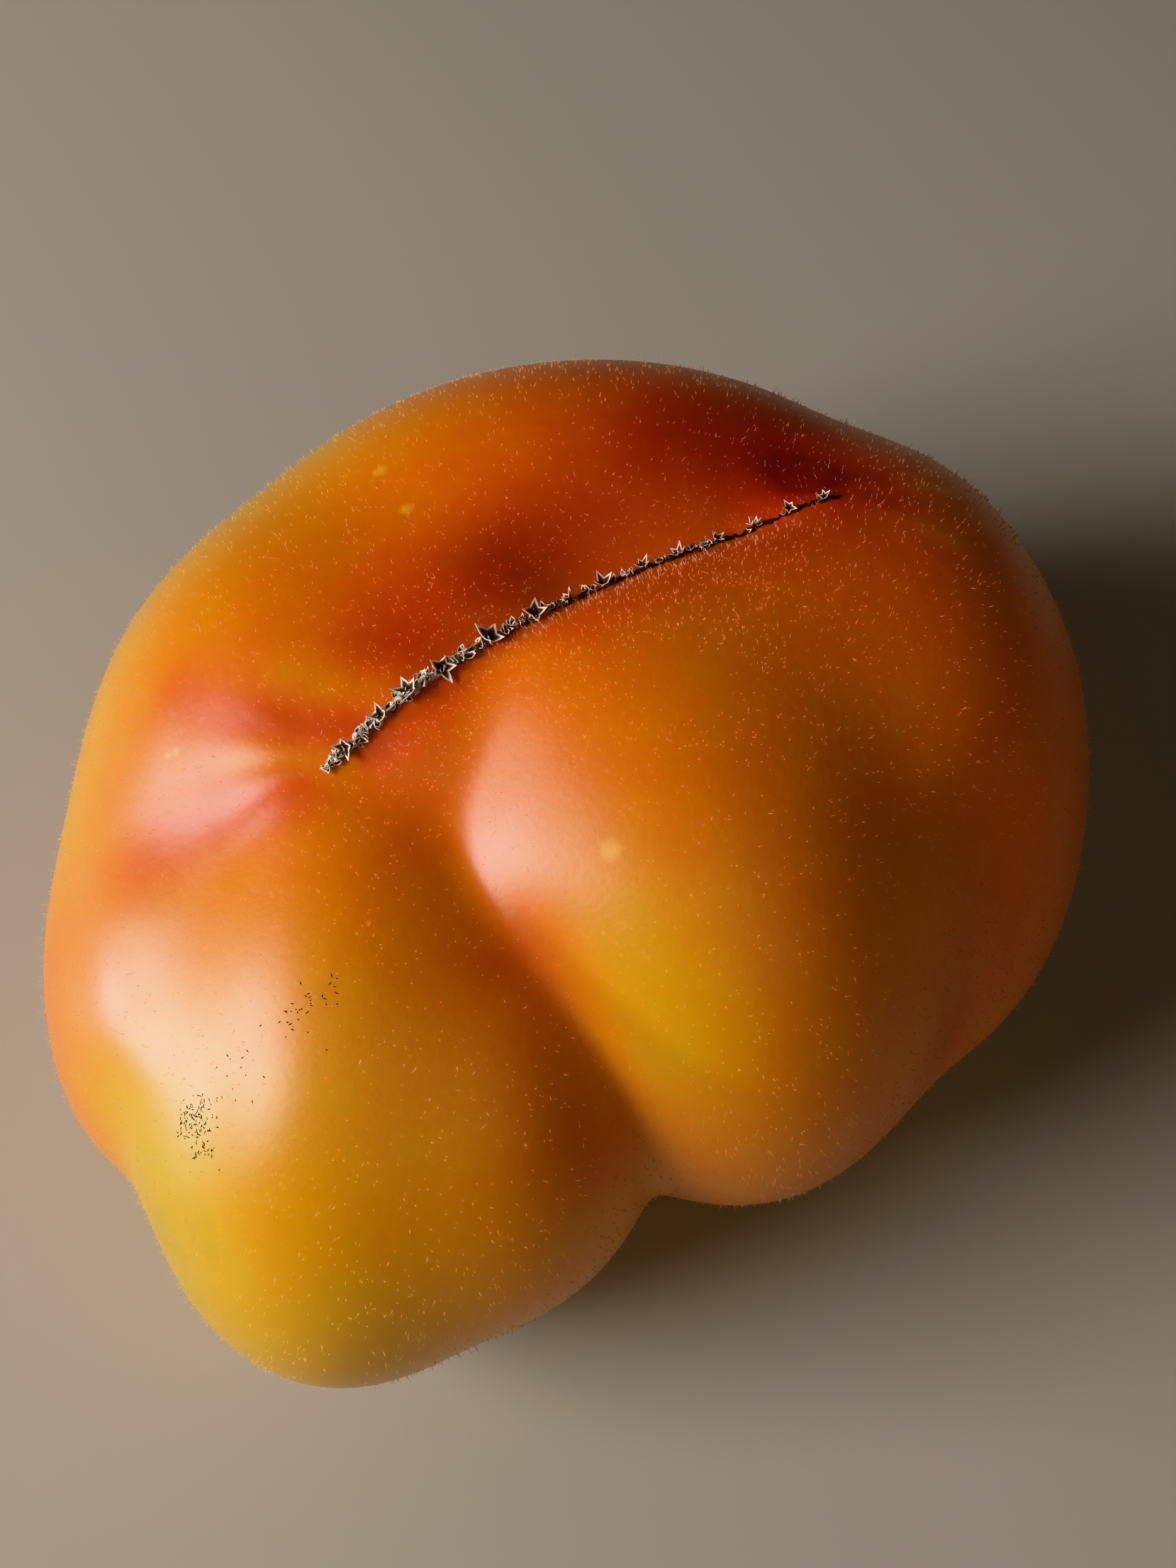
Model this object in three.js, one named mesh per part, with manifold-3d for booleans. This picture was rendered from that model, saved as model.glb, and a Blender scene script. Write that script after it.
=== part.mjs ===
// A large two-coloured beefsteak tomato, as picked, resting on its stem end.
// Its long corky blossom scar lies in a fold on top, and a deep furrow parts the two front lobes.
// Millimetres, +Z up, +X to the right, -Y to the front. The origin is on the table, below the
// middle of the fruit's box.
import * as THREE from "three";
import { mergeVertices } from "three/addons/utils/BufferGeometryUtils.js";
import Module from "manifold-3d";

// Driving dimensions, in the growing frame: its origin is near the stem, and the lobes swell round
// a core at height 32.

// Each lobe is an egg shape: its middle, its half widths along X, Y and Z, its turn about Z, and
// its tip about its own X, which lowers its front end, in degrees.
const FRONT_RIGHT_LOBES = [
  { middle: [9, -11.5, 33], half: [24.5, 33, 32], turn: 21, tip: 24 },
  { middle: [-3, -3, 34], half: [14, 11, 27], turn: 28, tip: 0 },
  { middle: [-5.5, -15.5, 36.5], half: [12.5, 11, 20.5], turn: 20, tip: 10 },
  { middle: [21.5, 3, 32], half: [28, 27, 31], turn: 0, tip: 0 },
  { middle: [26, -7, 24], half: [22, 21, 21], turn: 0, tip: 20 },
];
const BACK_AND_LEFT_LOBES = [
  { middle: [1, 18, 31], half: [40, 28, 32], turn: 0, tip: -8 },
  { middle: [-9, 3.5, 31], half: [20, 16.5, 31], turn: 0, tip: 0 },
  { middle: [-25, 0, 30], half: [27, 31, 30.3], turn: 0, tip: 0 },
  { middle: [-38.5, -19, 26], half: [15.5, 23, 24], turn: 0, tip: 0 },
  { middle: [-20.5, -27.5, 29], half: [22, 33, 28.2], turn: -11, tip: 24 },
  { middle: [-9, -31, 28], half: [17, 22, 25], turn: 0, tip: 14 },
];
const FRONT_RIGHT_BLEND = 4; // how far neighbouring lobes of a mass run into each other
const BACK_AND_LEFT_BLEND = 3;
const FURROW_BLEND = 0.8; // the two masses meet in a sharp furrow
const RIGHT_END_BLEND = 7; // which fades out round the right side
const RIGHT_END_FROM = 14;
const RIGHT_END_TO = 42;
const FORK_BLEND = 4; // and is soft where it forks off the scar
const FORK = [-16, -8, 58];
const FORK_REACH = 8;
const UNDERSIDE_BLEND = 6; // and closes on the underside
const UNDERSIDE_FROM = 3;
const UNDERSIDE_TO = 18;

// The fold that holds the blossom scar: y = start + rise * u - bow * u * u, with u from 0 to 1
// along X.
const SCAR_LEFT = -23;
const SCAR_RIGHT = 24;
const SCAR_START_Y = -13;
const SCAR_RISE = 47;
const SCAR_BOW = 18.5;
const FOLD_DEPTH = 2.7;
const FOLD_STEEP_SIDE = 3; // towards the front right lobe, whose rim stands up beside the scar
const FOLD_GENTLE_SIDE = 9;
const FOLD_FULL_FROM = 0.5; // shares of the way between which the fold has its full depth
const FOLD_FULL_TO = 0.76;
const FOLD_LOW = 36; // the fold fades out between these heights
const FOLD_HIGH = 50;

// Shallow valleys on the skin: the points that each one runs through, its depth and half width. The
// last one's depth is negative, because it is a low swelling.
const VALLEYS = [
  { route: [[-22, -9, 59], [-27, -8.5, 61], [-32, -7, 60], [-40, -5, 56]], depth: 0.25, half: 6 },
  { route: [[-26, -14, 59], [-35, -16, 55], [-42, -20, 50], [-50, -24, 40]], depth: 0.6, half: 7.5 },
  { route: [[-40, -33, 47], [-43, -38, 36], [-43, -40, 24], [-43, -43, 8]], depth: 1.1, half: 6 },
  { route: [[34, -8, 57], [37, -14, 52], [39, -20, 45], [37, -29, 25]], depth: 1.2, half: 7 },
  {
    route: [[19, 8, 64], [24, -2, 64], [28, -11, 61], [30, -20, 56], [29, -36, 38], [25, -39, 22]],
    depth: 0.3,
    half: 8,
  },
  { route: [[-41, -14, 51], [-41, -28, 49], [-40, -38, 45], [-37, -52, 36]], depth: -0.6, half: 8 },
];
const VALLEY_FADE_IN = 0.25; // shares of a valley's way over which its ends fade
const VALLEY_FADE_OUT = 0.2;

// The stem end, underneath
const STEM = [0, -3];
const HOLLOW_HALF = [21, 18, 20];
const HOLLOW_MIDDLE_Z = -7;
const HOLLOW_TURN = 20;
const HOLLOW_LIP = 5;
const SHOULDER_RIBS = 9;
const RIB_SWAY = 0.6; // in radians, so that the ribs differ in width
const RIB_DEPTH = 1.1;
const RIB_BOTTOM = 6;
const RIB_TOP = 30;
const RIB_IN = 8; // the ribs fade in between these distances from the stem
const RIB_OUT = 20;
const TABLE_Z = 1.1; // the fruit's own weight presses it flat at this height of the growing frame

const CORE = [0, 0, 32];
const FARTHEST = 75; // no skin lies farther than this from the core
const FRUIT_DETAIL = 17; // how often each edge of the starting ball is cut
const COARSE_STEPS = 160; // on the way from outside to the core
const FINE_STEPS = 18; // halvings of the step that met the skin

// Blossom scar: a thin seam of cork along the fold, with knots of cork and dry four-pointed scales
const SEAM_RADIUS = 0.6;
const SEAM_STEPS = 26;
const SEAM_SIDES = 6;
const KNOTS = 22;
const KNOT_RADIUS_LEFT = 1.35;
const KNOT_RADIUS_RIGHT = 0.8;
const KNOT_LENGTH = 1.15; // these two are shares of its own radius
const KNOT_HEIGHT = 0.8;
const KNOT_SIDES = 6;
const KNOT_RINGS = 5;
const KNOT_LEAST = 0.85; // and these, of the radius at its place
const KNOT_SPREAD = 0.3;
const SCALES = 14;
const SCALE_POINTS = 4;
const SCALE_POINT = 1.5; // radius to the points
const SCALE_WAIST = 0.6; // radius between the points
const SCALE_THICK = 0.5;
const SCALE_LIFT = 0.55;
const SCALE_TILT = 0.35; // most, in radians
const SCALE_STRAY = 0.4; // of the way from one scale to the next
const SCALE_LEAST = 0.8; // size of the smallest, against the middle one
const SCALE_SPREAD = 0.4;
const SCALE_LEFT = 1.1; // size at the scar's left end, and how much less at its right end
const SCALE_TAPER = 0.3;
const SCAR_GAP = 0.3; // between cork and skin
const SCAR_SEED = 31;

// Stem scar: a corky disc with a raised rim and a pit where the stem broke off
const STEM_SCAR_RADIUS = 6.4;
const STEM_SCAR_OUT = 1.2;
const STEM_SCAR_IN = 1.5;
const STEM_PIT_RADIUS = 1.6;
const STEM_SCAR_LENGTH = 1.12; // the disc is a little longer than wide
const STEM_SCAR_WIDTH = 0.9;
const STEM_SCAR_SIDES = 24;

const SKIN_COLOUR = 0xd8701f;
const SCAR_COLOUR = 0x8f7c5c;
const STEM_SCAR_COLOUR = 0x9a8453;
const SKIN_ROUGHNESS = 0.35;
const CORK_ROUGHNESS = 0.9;

const wasm = await Module();
wasm.setup();

// A repeatable random number from 0 to 1
function randomFrom(seed) {
  let state = seed;
  return () => {
    state = (state * 1664525 + 1013904223) % 4294967296;
    return state / 4294967296;
  };
}

function smoothstep(value, low, high) {
  return THREE.MathUtils.smoothstep(value, low, high);
}

// The smooth union of shapes, from their distances
function blended(distances, blend) {
  const least = Math.min(...distances);
  const sum = distances.reduce((total, d) => total + Math.exp((least - d) / blend), 0);
  return least - blend * Math.log(sum);
}

// About how far a point is outside an egg shape
function eggDistance([x, y, z], { middle, half, turn, tip }) {
  const a = THREE.MathUtils.degToRad(turn);
  const b = THREE.MathUtils.degToRad(tip);
  const dx = x - middle[0];
  const dy = y - middle[1];
  const dz = z - middle[2];
  const across = Math.cos(a) * dx + Math.sin(a) * dy;
  const level = -Math.sin(a) * dx + Math.cos(a) * dy;
  const along = Math.cos(b) * level + Math.sin(b) * dz;
  const up = -Math.sin(b) * level + Math.cos(b) * dz;
  const scaled = Math.hypot(across / half[0], along / half[1], up / half[2]);
  const slope = Math.hypot(across / half[0] ** 2, along / half[1] ** 2, up / half[2] ** 2);
  return (scaled * (scaled - 1)) / Math.max(slope, 1e-9);
}

// A point's distance from a route and its share of the way along it
function routeDistance([x, y, z], route) {
  const point = new THREE.Vector3(x, y, z);
  const nearest = new THREE.Vector3();
  const points = route.map((p) => new THREE.Vector3(...p));
  const lengths = points.slice(1).map((p, i) => p.distanceTo(points[i]));
  const total = lengths.reduce((sum, length) => sum + length, 0);
  let best = { distance: Infinity, share: 0 };
  let before = 0;
  lengths.forEach((length, i) => {
    const stretch = new THREE.Line3(points[i], points[i + 1]);
    const part = stretch.closestPointToPointParameter(point, true);
    stretch.at(part, nearest);
    const distance = nearest.distanceTo(point);
    if (distance < best.distance) best = { distance, share: (before + part * length) / total };
    before += length;
  });
  return best;
}

// The scar's place in plan, at a share u of its way
function scarY(u) {
  return SCAR_START_Y + SCAR_RISE * u - SCAR_BOW * u * u;
}

// How deep the scar's fold presses the skin in
function foldDepth([x, y, z]) {
  const span = SCAR_RIGHT - SCAR_LEFT;
  const u = THREE.MathUtils.clamp((x - SCAR_LEFT) / span, 0, 1);
  const slope = (SCAR_RISE - 2 * SCAR_BOW * u) / span;
  const aside = (scarY(u) - y) / Math.hypot(1, slope);
  const width = aside > 0 ? FOLD_STEEP_SIDE : FOLD_GENTLE_SIDE;
  const ends = smoothstep(u, 0, FOLD_FULL_FROM) * (1 - smoothstep(u, FOLD_FULL_TO, 1));
  return FOLD_DEPTH * Math.exp(-((aside / width) ** 2)) * ends * smoothstep(z, FOLD_LOW, FOLD_HIGH);
}

function valleyDepth(point) {
  return VALLEYS.reduce((total, { route, depth, half }) => {
    const { distance, share } = routeDistance(point, route);
    const ends =
      smoothstep(share, 0, VALLEY_FADE_IN) * (1 - smoothstep(share, 1 - VALLEY_FADE_OUT, 1));
    return total + depth * Math.exp(-((distance / half) ** 2)) * ends;
  }, 0);
}

// How deep the grooves between the ribs of the shoulder are, round the stem
function ribDepth([x, y, z]) {
  const angle = Math.atan2(y - STEM[1], x - STEM[0]);
  const out = Math.hypot(x - STEM[0], y - STEM[1]);
  const wave = 0.5 + 0.5 * Math.cos(SHOULDER_RIBS * angle + RIB_SWAY * Math.sin(2 * angle));
  const low = 1 - smoothstep(z, RIB_BOTTOM, RIB_TOP);
  return RIB_DEPTH * wave ** 2 * low * smoothstep(out, RIB_IN, RIB_OUT);
}

// About how far a point is outside the fruit
function fruitDistance(point) {
  const [x, y, z] = point;
  const frontRight = blended(
    FRONT_RIGHT_LOBES.map((lobe) => eggDistance(point, lobe)),
    FRONT_RIGHT_BLEND,
  );
  const backAndLeft = blended(
    BACK_AND_LEFT_LOBES.map((lobe) => eggDistance(point, lobe)),
    BACK_AND_LEFT_BLEND,
  );
  const fromFork = Math.hypot(x - FORK[0], y - FORK[1], z - FORK[2]);
  const furrowBlend =
    FURROW_BLEND +
    RIGHT_END_BLEND * smoothstep(x, RIGHT_END_FROM, RIGHT_END_TO) +
    FORK_BLEND * Math.exp(-((fromFork / FORK_REACH) ** 2)) +
    UNDERSIDE_BLEND * (1 - smoothstep(z, UNDERSIDE_FROM, UNDERSIDE_TO));
  const flesh =
    blended([frontRight, backAndLeft], furrowBlend) +
    foldDepth(point) +
    valleyDepth(point) +
    ribDepth(point);
  const hollow = eggDistance(point, {
    middle: [...STEM, HOLLOW_MIDDLE_Z],
    half: HOLLOW_HALF,
    turn: HOLLOW_TURN,
    tip: 0,
  });
  const hollowed = -blended([-flesh, hollow], HOLLOW_LIP);
  return Math.max(hollowed, TABLE_Z - z);
}

// The first point of the skin on the way from start to end
function skinBetween(start, end) {
  const at = (share) => start.map((value, i) => value + share * (end[i] - value));
  let outside = 0;
  let inside = 1;
  for (let i = 1; i <= COARSE_STEPS; i++) {
    inside = i / COARSE_STEPS;
    if (fruitDistance(at(inside)) < 0) break;
    outside = inside;
  }
  for (let i = 0; i < FINE_STEPS; i++) {
    const half = (outside + inside) / 2;
    if (fruitDistance(at(half)) < 0) inside = half;
    else outside = half;
  }
  return new THREE.Vector3(...at(inside));
}

// Closed geometries as solids, and back

function solidFrom(geometry) {
  const bare = geometry.clone();
  bare.deleteAttribute("normal");
  bare.deleteAttribute("uv");
  const merged = mergeVertices(bare, 1e-4);
  return new wasm.Manifold(
    new wasm.Mesh({
      numProp: 3,
      vertProperties: new Float32Array(merged.attributes.position.array),
      triVerts: new Uint32Array(merged.index.array),
    }),
  );
}

function geometryFrom(solid) {
  const mesh = solid.getMesh();
  const geometry = new THREE.BufferGeometry();
  geometry.setAttribute("position", new THREE.BufferAttribute(mesh.vertProperties, 3));
  geometry.setIndex(new THREE.BufferAttribute(mesh.triVerts, 1));
  geometry.computeVertexNormals();
  return geometry;
}

function joined(solids) {
  return solids.reduce((all, solid) => all.add(solid));
}

// The whole fruit before the scars are let in: a fine ball whose points move out or in to the skin
function fruitSkin() {
  const geometry = new THREE.IcosahedronGeometry(1, FRUIT_DETAIL);
  const position = geometry.attributes.position;
  const found = new Map();
  for (let i = 0; i < position.count; i++) {
    const way = [position.getX(i), position.getY(i), position.getZ(i)];
    const key = way.map((value) => value.toFixed(5)).join();
    if (!found.has(key)) {
      found.set(key, skinBetween(CORE.map((c, k) => c + FARTHEST * way[k]), CORE));
    }
    position.setXYZ(i, ...found.get(key).toArray());
  }
  return geometry;
}

// A point of the fold's floor, at a share u of the scar's way
function foldFloor(u) {
  const x = THREE.MathUtils.lerp(SCAR_LEFT, SCAR_RIGHT, u);
  const y = scarY(u);
  return skinBetween([x, y, FARTHEST], [x, y, CORE[2]]);
}

function knotRadius(u) {
  return THREE.MathUtils.lerp(KNOT_RADIUS_LEFT, KNOT_RADIUS_RIGHT, u);
}

// The thin seam of cork that runs the whole length of the scar
function seam(gap) {
  const shares = Array.from({ length: SEAM_STEPS }, (_, i) => (i + 0.5) / SEAM_STEPS);
  const round = new THREE.Shape(
    Array.from({ length: SEAM_SIDES }, (_, i) => {
      const angle = (2 * Math.PI * i) / SEAM_SIDES;
      const radius = SEAM_RADIUS + gap;
      return new THREE.Vector2(radius * Math.cos(angle), radius * Math.sin(angle));
    }),
  );
  const geometry = new THREE.ExtrudeGeometry(round, {
    steps: SEAM_STEPS,
    extrudePath: new THREE.CatmullRomCurve3(shares.map(foldFloor)),
  });
  return solidFrom(geometry);
}

// A knot of cork, sunk to its middle in the fold
function knot(u, swell, gap) {
  const geometry = new THREE.SphereGeometry(1, KNOT_SIDES, KNOT_RINGS);
  const radius = knotRadius(u) * swell + gap;
  geometry.rotateX(Math.PI / 2);
  geometry.scale(radius * KNOT_LENGTH, radius, radius * KNOT_HEIGHT);
  geometry.translate(...foldFloor(u).toArray());
  return solidFrom(geometry);
}

// A dry scale: a thin four-pointed star that stands a little off the cork
function scale(u, size, spin, tiltX, tiltY, gap) {
  const outline = new THREE.Shape();
  for (let i = 0; i < 2 * SCALE_POINTS; i++) {
    const radius = (i % 2 ? SCALE_WAIST : SCALE_POINT) * size + gap;
    const angle = (i * Math.PI) / SCALE_POINTS;
    outline[i ? "lineTo" : "moveTo"](radius * Math.cos(angle), radius * Math.sin(angle));
  }
  const geometry = new THREE.ExtrudeGeometry(outline, {
    depth: SCALE_THICK + 2 * gap,
    bevelEnabled: false,
  });
  geometry.translate(0, 0, -gap - SCALE_THICK / 2);
  geometry.rotateZ(spin);
  geometry.rotateX(tiltX);
  geometry.rotateY(tiltY);
  const place = foldFloor(u);
  geometry.translate(place.x, place.y, place.z + SCALE_LIFT * knotRadius(u));
  return solidFrom(geometry);
}

// The whole blossom scar. With a gap it is swollen all round, to cut its own seat in the skin.
function blossomScar(gap) {
  const random = randomFrom(SCAR_SEED);
  const pieces = [seam(gap)];
  for (let i = 0; i < KNOTS; i++) {
    pieces.push(knot((i + 0.5) / KNOTS, KNOT_LEAST + KNOT_SPREAD * random(), gap));
  }
  for (let i = 0; i < SCALES; i++) {
    const u = (i + 0.5 + SCALE_STRAY * (random() - 0.5)) / SCALES;
    const size = (SCALE_LEAST + SCALE_SPREAD * random()) * (SCALE_LEFT - SCALE_TAPER * u);
    const spin = random() * Math.PI;
    const tiltX = (2 * random() - 1) * SCALE_TILT;
    const tiltY = (2 * random() - 1) * SCALE_TILT;
    pieces.push(scale(u, size, spin, tiltX, tiltY, gap));
  }
  return joined(pieces);
}

// The corky disc in the roof of the stem hollow, facing down
function stemScar(gap) {
  const roof = skinBetween([...STEM, TABLE_Z], [...STEM, CORE[2]]);
  const out = STEM_SCAR_OUT + gap;
  const radius = STEM_SCAR_RADIUS + gap;
  // radius and height, from the pit out over the rim and back above it
  const profile = [
    [0, gap ? -out : 0.2],
    [STEM_PIT_RADIUS, gap ? -out : -0.3],
    [STEM_PIT_RADIUS * 1.6, -out],
    [radius * 0.82, -out * 0.9],
    [radius, -0.3],
    [radius * 0.9, STEM_SCAR_IN * 0.6],
    [radius * 0.6, STEM_SCAR_IN + gap],
    [0, STEM_SCAR_IN + gap],
  ];
  const geometry = new THREE.LatheGeometry(
    profile.map(([r, h]) => new THREE.Vector2(r, h)),
    STEM_SCAR_SIDES,
  );
  geometry.rotateX(Math.PI / 2);
  geometry.rotateZ(THREE.MathUtils.degToRad(HOLLOW_TURN));
  geometry.scale(STEM_SCAR_LENGTH, STEM_SCAR_WIDTH, 1);
  geometry.translate(...roof.toArray());
  return solidFrom(geometry);
}

function piece(name, solid, colour, roughness) {
  const material = new THREE.MeshStandardMaterial({ color: colour, roughness, metalness: 0 });
  const mesh = new THREE.Mesh(geometryFrom(solid), material);
  mesh.name = name;
  return mesh;
}

const fruit = solidFrom(fruitSkin()).subtract(blossomScar(SCAR_GAP)).subtract(stemScar(SCAR_GAP));

const growing = new THREE.Group();
growing.add(piece("fruit", fruit, SKIN_COLOUR, SKIN_ROUGHNESS));
growing.add(piece("blossom_scar", blossomScar(0), SCAR_COLOUR, CORK_ROUGHNESS));
growing.add(piece("stem_scar", stemScar(0), STEM_SCAR_COLOUR, CORK_ROUGHNESS));
const box = new THREE.Box3().setFromObject(growing);
const middle = box.getCenter(new THREE.Vector3());
growing.position.set(-middle.x, -middle.y, -TABLE_Z);

const tomato = new THREE.Group();
tomato.add(growing);

export default tomato;
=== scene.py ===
"""A large lobed tomato with a long corky blossom scar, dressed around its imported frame."""

import logging
import math
from dataclasses import dataclass, field
from enum import Enum

import bmesh
import bpy
import numpy as np
from bpy.types import Material, Node, NodeSocket, NodeTree, Object
from mathutils import Matrix, Quaternion, Vector, noise
from numpy.random import Generator


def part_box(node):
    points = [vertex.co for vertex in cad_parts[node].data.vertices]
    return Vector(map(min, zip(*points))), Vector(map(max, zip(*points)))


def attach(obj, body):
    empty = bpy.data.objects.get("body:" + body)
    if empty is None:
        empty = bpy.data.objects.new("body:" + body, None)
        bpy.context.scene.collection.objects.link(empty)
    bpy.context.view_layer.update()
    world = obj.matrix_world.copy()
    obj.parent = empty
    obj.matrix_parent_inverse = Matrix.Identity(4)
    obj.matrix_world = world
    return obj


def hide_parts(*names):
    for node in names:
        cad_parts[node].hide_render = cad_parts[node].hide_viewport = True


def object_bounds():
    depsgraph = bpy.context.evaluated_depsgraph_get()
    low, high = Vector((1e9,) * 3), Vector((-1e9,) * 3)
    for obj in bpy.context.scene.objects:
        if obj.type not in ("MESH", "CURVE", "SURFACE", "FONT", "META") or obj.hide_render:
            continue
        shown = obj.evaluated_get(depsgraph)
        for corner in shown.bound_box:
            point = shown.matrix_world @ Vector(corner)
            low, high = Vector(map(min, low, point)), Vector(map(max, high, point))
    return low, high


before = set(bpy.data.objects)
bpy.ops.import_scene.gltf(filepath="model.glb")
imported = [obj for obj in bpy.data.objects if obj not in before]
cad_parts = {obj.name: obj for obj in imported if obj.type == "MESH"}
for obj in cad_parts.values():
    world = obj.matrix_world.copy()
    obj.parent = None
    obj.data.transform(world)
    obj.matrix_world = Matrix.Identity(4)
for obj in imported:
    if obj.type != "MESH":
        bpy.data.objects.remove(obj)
CAD_LOW, CAD_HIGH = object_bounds()

LOG = logging.getLogger("tomato")
MM = 0.001
ROOT = "root"
SEED = 41
SKIN_DETAIL = 7
FRUIT_MIDDLE = 0.03
VALLEY_FADE_IN = 0.25
VALLEY_FADE_OUT = 0.8
PUCKER_START = (0.5, 3.5)


class HairKind(Enum):
    """The kinds of hair: how many there are, and their least and greatest length in millimetres."""

    SHORT = (14000, 0.25, 0.6)
    LONG = (2600, 0.6, 1.0)


class Way(Enum):
    """Which side a smooth step is high on."""

    UP = 1
    DOWN = -1


def linear(hex_colour: str) -> tuple[float, float, float, float]:
    """Turn an sRGB hex colour into a linear colour.

    Args:
        hex_colour: six hex digits, as rrggbb.

    Returns:
        Red, green, blue and an alpha of 1, in linear light.
    """
    shares = [int(hex_colour[i : i + 2], 16) / 255 for i in (0, 2, 4)]
    lit = [s / 12.92 if s <= 0.04045 else ((s + 0.055) / 1.055) ** 2.4 for s in shares]
    return (*lit, 1.0)


def step_between(value: np.ndarray, low: float, high: float, way: Way = Way.UP) -> np.ndarray:
    """A smooth step from 0 to 1 between two values.

    Args:
        value: what is tested.
        low: where the step starts.
        high: where the step ends.
        way: UP for 0 below and 1 above, DOWN for the other way round.

    Returns:
        The step, with the shape of value.
    """
    share = np.clip((value - low) / (high - low), 0, 1)
    rise = share * share * (3 - 2 * share)
    return rise if way is Way.UP else 1 - rise


def blended(distances: list[np.ndarray], reach: float | np.ndarray) -> np.ndarray:
    """The distance from the smooth union of several shapes.

    Args:
        distances: the distance from each shape.
        reach: how far the shapes run into each other.

    Returns:
        The blended distance.
    """
    stack = np.stack(distances)
    least = stack.min(0)
    return least - reach * np.log(np.exp((least - stack) / reach).sum(0))


def route_distance(points: np.ndarray, route: list) -> tuple[np.ndarray, np.ndarray]:
    """How far points are from a route, and the share of the way along it where each is nearest.

    Args:
        points: an array of points, in millimetres.
        route: the points that the route runs through.

    Returns:
        The distances and the shares.
    """
    stops = np.array(route, float)
    lengths = np.linalg.norm(np.diff(stops, axis=0), axis=1)
    before = np.concatenate([[0], np.cumsum(lengths)]) / lengths.sum()
    best = np.full(len(points), np.inf)
    share = np.zeros(len(points))
    for i, length in enumerate(lengths):
        stretch = stops[i + 1] - stops[i]
        part = np.clip((points - stops[i]) @ stretch / length**2, 0, 1)
        away = np.linalg.norm(points - stops[i] - part[:, None] * stretch, axis=1)
        nearer = away < best
        best = np.where(nearer, away, best)
        share = np.where(nearer, before[i] + part * (before[i + 1] - before[i]), share)
    return best, share


def add_node(tree: NodeTree, kind: str, inputs: dict | None = None, **settings: object) -> Node:
    """Add a node with its settings, its input values and its links.

    Args:
        tree: the node tree.
        kind: the node's type, such as ShaderNodeTexNoise.
        inputs: for each input's name or number, a value or the output socket to link.
        **settings: the node's own settings.

    Returns:
        The node.
    """
    node = tree.nodes.new(kind)
    for name, value in settings.items():
        setattr(node, name, value)
    for name, value in (inputs or {}).items():
        if isinstance(value, NodeSocket):
            tree.links.new(value, node.inputs[name])
        else:
            node.inputs[name].default_value = value
    return node


def new_material(name: str) -> tuple[Material, NodeTree, Node]:
    """Make a material whose output takes a Principled shader.

    Args:
        name: the material's name.

    Returns:
        The material, its node tree and the shader.
    """
    material = bpy.data.materials.new(name)
    material.use_nodes = True
    tree = material.node_tree
    tree.nodes.clear()
    shader = add_node(tree, "ShaderNodeBsdfPrincipled")
    add_node(tree, "ShaderNodeOutputMaterial", {"Surface": shader.outputs["BSDF"]})
    return material, tree, shader


def colour_ramp(tree: NodeTree, value: NodeSocket, stops: list) -> NodeSocket:
    """Add a ramp of colours.

    Args:
        tree: the node tree.
        value: what the ramp reads.
        stops: pairs of a place from 0 to 1 and a hex colour, in order.

    Returns:
        The ramp's colour output.
    """
    node = add_node(tree, "ShaderNodeValToRGB", {"Fac": value})
    elements = node.color_ramp.elements
    while len(elements) < len(stops):
        elements.new(1.0)
    for element, (place, hex_colour) in zip(elements, stops):
        element.position = place
        element.color = linear(hex_colour)
    return node.outputs["Color"]


def grain_texture(tree: NodeTree, place: NodeSocket, size_mm: float, detail: float = 3.0) -> NodeSocket:
    """Add a noise whose patches have a real size.

    Args:
        tree: the node tree.
        place: the coordinates that it reads.
        size_mm: about how large its patches are, in millimetres.
        detail: how many finer layers it has.

    Returns:
        The noise, from 0 to 1.
    """
    inputs = {"Vector": place, "Scale": 1 / (size_mm * MM), "Detail": detail}
    return add_node(tree, "ShaderNodeTexNoise", inputs).outputs["Fac"]


def calculate(tree: NodeTree, operation: str, *values: NodeSocket | float) -> NodeSocket:
    """Add a node that calculates with numbers and sockets, and return its result."""
    return add_node(tree, "ShaderNodeMath", dict(enumerate(values)), operation=operation).outputs[0]


def roughen(tree: NodeTree, shader: Node, grain: NodeSocket, strength: float, deep_mm: float) -> None:
    """Let a grain dent and raise the surface that a shader draws.

    Args:
        tree: the node tree.
        shader: the shader.
        grain: the grain.
        strength: how much of it shows, from 0 to 1.
        deep_mm: how deep it goes, in millimetres.
    """
    bump = add_node(tree, "ShaderNodeBump", {"Height": grain, "Strength": strength, "Distance": deep_mm * MM})
    tree.links.new(bump.outputs["Normal"], shader.inputs["Normal"])


def finish_piece(bm: bmesh.types.BMesh, name: str, material: Material) -> Object:
    """Make a smooth-shaded object of a finished bmesh, which is in metres, in the part's frame.

    Args:
        bm: the bmesh, which is freed.
        name: the object's name.
        material: what it is dressed with.

    Returns:
        The object, at the origin.
    """
    mesh = bpy.data.meshes.new(name)
    bm.to_mesh(mesh)
    bm.free()
    mesh.polygons.foreach_set("use_smooth", np.ones(len(mesh.polygons), bool))
    mesh.materials.append(material)
    piece = bpy.data.objects.new(name, mesh)
    bpy.context.scene.collection.objects.link(piece)
    return piece


def hand_over(piece: Object, slot: str, *nodes: str) -> None:
    """Let a piece ride on the fruit's body and hide the nodes that it stands for.

    Args:
        piece: the piece.
        slot: the name of a material slot; it is not used.
        *nodes: the nodes that it stands for.
    """
    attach(piece, ROOT)
    if nodes:
        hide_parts(*nodes)
    LOG.info("%s: %d faces", piece.name, len(piece.data.polygons))


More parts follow.
